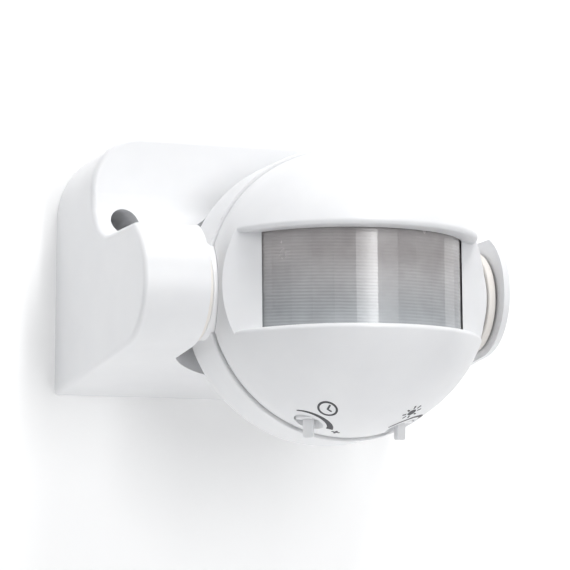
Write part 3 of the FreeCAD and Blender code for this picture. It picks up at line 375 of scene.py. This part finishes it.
lens_low, lens_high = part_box("fresnel_lens")
LENS_SPAN = math.radians(66.0)
LENS_RADIUS = (lens_high.x - lens_low.x) / 2.0 / math.sin(LENS_SPAN)
LENS_CENTRE_OUT = 3.9 * MM
LENS_TOP = 14.1 * MM
LENS_BOTTOM = -12.9 * MM
ROW_SPLIT = -4.2 * MM
FACET_COUNT = 13
FACET_COLUMNS = 6
LOWER_STEPS = 4
UPPER_STEPS = 8
FACET_SAG = 0.07 * MM
FILM_THICKNESS = 0.55 * MM
FILM_MERGE = 0.001 * MM
SEAM_DEPTH = 0.05 * MM
SEAM_RISE = 3.0            # the film is out of a seam once its swell reaches one over this
FACET_EDGE = math.radians(3.2)           # bends sharper than this show as an edge


def lens_film_mesh():
    """The film as one closed sheet: each facet is a little flatter than the curve that carries it."""
    columns = FACET_COUNT * FACET_COLUMNS
    heights = []
    for start, end, steps in ((LENS_BOTTOM, ROW_SPLIT, LOWER_STEPS), (ROW_SPLIT, LENS_TOP, UPPER_STEPS)):
        for i in range(steps + 1):
            part = i / steps
            heights.append((start + (end - start) * part, 1.0 - (2.0 * part - 1.0) ** 2))
    made = bmesh.new()
    layers = []
    for thickness in (0.0, FILM_THICKNESS):
        grid = []
        for z, swell in heights:
            row = []
            for i in range(columns + 1):
                angle = -LENS_SPAN + 2.0 * LENS_SPAN * i / columns
                across = (i % FACET_COLUMNS) / FACET_COLUMNS
                flat = FACET_SAG * (1.0 - (2.0 * across - 1.0) ** 2)
                seam = SEAM_DEPTH * (1.0 - min(1.0, swell * SEAM_RISE))
                radius = LENS_RADIUS - flat - thickness - seam
                row.append(made.verts.new(head_point(radius * math.sin(angle),
                                                     -LENS_CENTRE_OUT - radius * math.cos(angle), z)))
            grid.append(row)
        layers.append(grid)
    outer, inner = layers
    rows = len(heights)
    for j in range(rows - 1):
        for i in range(columns):
            made.faces.new((outer[j][i], outer[j][i + 1], outer[j + 1][i + 1], outer[j + 1][i]))
            made.faces.new((inner[j][i + 1], inner[j][i], inner[j + 1][i], inner[j + 1][i + 1]))
    for i in range(columns):
        made.faces.new((outer[0][i + 1], outer[0][i], inner[0][i], inner[0][i + 1]))
        made.faces.new((outer[-1][i], outer[-1][i + 1], inner[-1][i + 1], inner[-1][i]))
    for j in range(rows - 1):
        made.faces.new((outer[j][0], outer[j + 1][0], inner[j + 1][0], inner[j][0]))
        made.faces.new((outer[j + 1][-1], outer[j][-1], inner[j][-1], inner[j + 1][-1]))
    bmesh.ops.remove_doubles(made, verts=made.verts, dist=FILM_MERGE)
    bmesh.ops.recalc_face_normals(made, faces=made.faces)
    mesh = bpy.data.meshes.new("lens_sheet")
    made.to_mesh(mesh)
    made.free()
    return mesh


lens_mesh = lens_film_mesh()
for polygon in lens_mesh.polygons:
    polygon.use_smooth = True
lens_mesh.set_sharp_from_angle(angle=FACET_EDGE)
lens_mesh.materials.append(LOOKS["lens_film"])
lens_sheet = bpy.data.objects.new("lens_sheet", lens_mesh)
scene.collection.objects.link(lens_sheet)
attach(lens_sheet, "head")
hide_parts("fresnel_lens")


# ---- lights, backdrop and camera -------------------------------------------------------------

def backdrop_material(name, colour, glow):
    """Pale matt paint, seen from its front only, so that the back of the object can be looked at."""
    made, tree, shader = new_material(name)
    paint = noise(tree, 3.0, 2.0)
    level = remap(tree, paint.outputs["Fac"], 0.0, 1.0)
    tree.links.new(tone(tree, level, colour, colour), shader.inputs["Base Color"])
    shader.inputs["Roughness"].default_value = 0.95
    shader.inputs["Specular IOR Level"].default_value = 0.0
    clear = tree.nodes.new("ShaderNodeBsdfTransparent")
    choose = tree.nodes.new("ShaderNodeMixShader")
    side = tree.nodes.new("ShaderNodeNewGeometry")
    ray = tree.nodes.new("ShaderNodeLightPath")
    either = tree.nodes.new("ShaderNodeMath")
    either.operation = "MAXIMUM"
    tree.links.new(side.outputs["Backfacing"], either.inputs[0])
    tree.links.new(ray.outputs["Is Shadow Ray"], either.inputs[1])
    tree.links.new(either.outputs["Value"], choose.inputs["Fac"])
    tree.links.new(shader.outputs["BSDF"], choose.inputs[1])
    tree.links.new(clear.outputs["BSDF"], choose.inputs[2])
    tree.links.new(choose.outputs["Shader"], tree.nodes["Material Output"].inputs["Surface"])
    shader.inputs["Emission Color"].default_value = (1.0, 1.0, 1.0, 1.0)
    shader.inputs["Emission Strength"].default_value = glow
    return made


def sheet(name, corners, material):
    mesh = bpy.data.meshes.new(name)
    mesh.from_pydata(corners, [], [(0, 1, 2, 3)])
    mesh.materials.append(material)
    made = bpy.data.objects.new(name, mesh)
    scene.collection.objects.link(made)
    return made


WALL_SIDE = 2.0
WALL_Y = 0.6 * MM          # just behind the face that lies on the wall
WALL_GLOW = 0.22
FLOOR_Z = -0.90
FLOOR_SIDE = 1.2
PALE = (0.92, 0.92, 0.92)
sheet("backdrop", [(-WALL_SIDE, WALL_Y, FLOOR_Z), (WALL_SIDE, WALL_Y, FLOOR_Z),
                   (WALL_SIDE, WALL_Y, WALL_SIDE), (-WALL_SIDE, WALL_Y, WALL_SIDE)],
      backdrop_material("backdrop_paint", PALE, WALL_GLOW))
sheet("floor", [(-FLOOR_SIDE, -FLOOR_SIDE, FLOOR_Z), (FLOOR_SIDE, -FLOOR_SIDE, FLOOR_Z),
                (FLOOR_SIDE, FLOOR_SIDE, FLOOR_Z), (-FLOOR_SIDE, FLOOR_SIDE, FLOOR_Z)],
      backdrop_material("floor_paint", PALE, 0.0))


LIGHT_TARGET = Vector((0.0, -0.05, 0.0))
COOL_WHITE = (0.88, 0.94, 1.0)


def softbox(name, place, width, height, power, colour=(1.0, 1.0, 1.0)):
    lamp = bpy.data.lights.new(name, "AREA")
    lamp.shape = "RECTANGLE"
    lamp.size = width
    lamp.size_y = height
    lamp.energy = power
    lamp.color = colour
    made = bpy.data.objects.new(name, lamp)
    made.location = place
    made.rotation_euler = (LIGHT_TARGET - Vector(place)).to_track_quat("-Z", "Y").to_euler()
    scene.collection.objects.link(made)
    return made


softbox("key", (0.45, -1.8, 2.9), 1.0, 0.9, 46.0)
softbox("front_fill", (0.6, -2.2, 0.25), 1.2, 1.2, 8.0)
softbox("left_fill", (-2.0, -0.9, 0.7), 1.2, 1.2, 1.6, COOL_WHITE)
softbox("strip", (0.15, -1.54, 0.30), 0.09, 0.9, 6.0)

SKY_DARK = (0.03, 0.035, 0.045)
SKY_LIGHT = (0.72, 0.72, 0.72)
SKY_LOW, SKY_HIGH = -0.15, 0.85          # heights of a ray's direction where the ramp starts and ends
world = bpy.data.worlds.new("studio")
scene.world = world
world.use_nodes = True
sky_tree = world.node_tree
background = sky_tree.nodes["Background"]
background.inputs["Strength"].default_value = 1.0
direction = sky_tree.nodes.new("ShaderNodeTexCoord")
parts = sky_tree.nodes.new("ShaderNodeSeparateXYZ")
ramp = sky_tree.nodes.new("ShaderNodeMapRange")
ramp.inputs["From Min"].default_value = SKY_LOW
ramp.inputs["From Max"].default_value = SKY_HIGH
shade = sky_tree.nodes.new("ShaderNodeMix")
shade.data_type = "RGBA"
shade.inputs[6].default_value = (*SKY_DARK, 1.0)
shade.inputs[7].default_value = (*SKY_LIGHT, 1.0)
sky_tree.links.new(direction.outputs["Generated"], parts.inputs["Vector"])
sky_tree.links.new(parts.outputs["Z"], ramp.inputs["Value"])
sky_tree.links.new(ramp.outputs["Result"], shade.inputs["Factor"])
sky_tree.links.new(shade.outputs[2], background.inputs["Color"])
scene.view_settings.view_transform = "Standard"

VIEW_ANGLE = math.radians(21.7)
VIEW_RISE = math.radians(4.86)
VIEW_ROLL = math.radians(0.5)
VIEW_DISTANCE = 0.820
VIEW_RIGHT = -0.01148      # the camera looks past the tilt axis by these two
VIEW_UP = 0.00276
SENSOR = 36.0
FOCAL = 221.05
CLIP_START = 0.01
ahead = Vector((math.sin(VIEW_ANGLE) * math.cos(VIEW_RISE), math.cos(VIEW_ANGLE) * math.cos(VIEW_RISE),
                math.sin(VIEW_RISE)))
right = Vector((math.cos(VIEW_ANGLE), -math.sin(VIEW_ANGLE), 0.0))
up = right.cross(ahead)
camera_data = bpy.data.cameras.new("camera")
camera_data.sensor_width = SENSOR
camera_data.lens = FOCAL
camera_data.clip_start = CLIP_START
camera = bpy.data.objects.new("camera", camera_data)
turn = Matrix.Rotation(VIEW_ROLL, 3, "Z")
axes = Matrix((right, up, -ahead)).transposed() @ turn
stand = AXIS - ahead * VIEW_DISTANCE + right * VIEW_RIGHT + up * VIEW_UP
camera.matrix_world = Matrix.Translation(stand) @ axes.to_4x4()
scene.collection.objects.link(camera)
scene.camera = camera
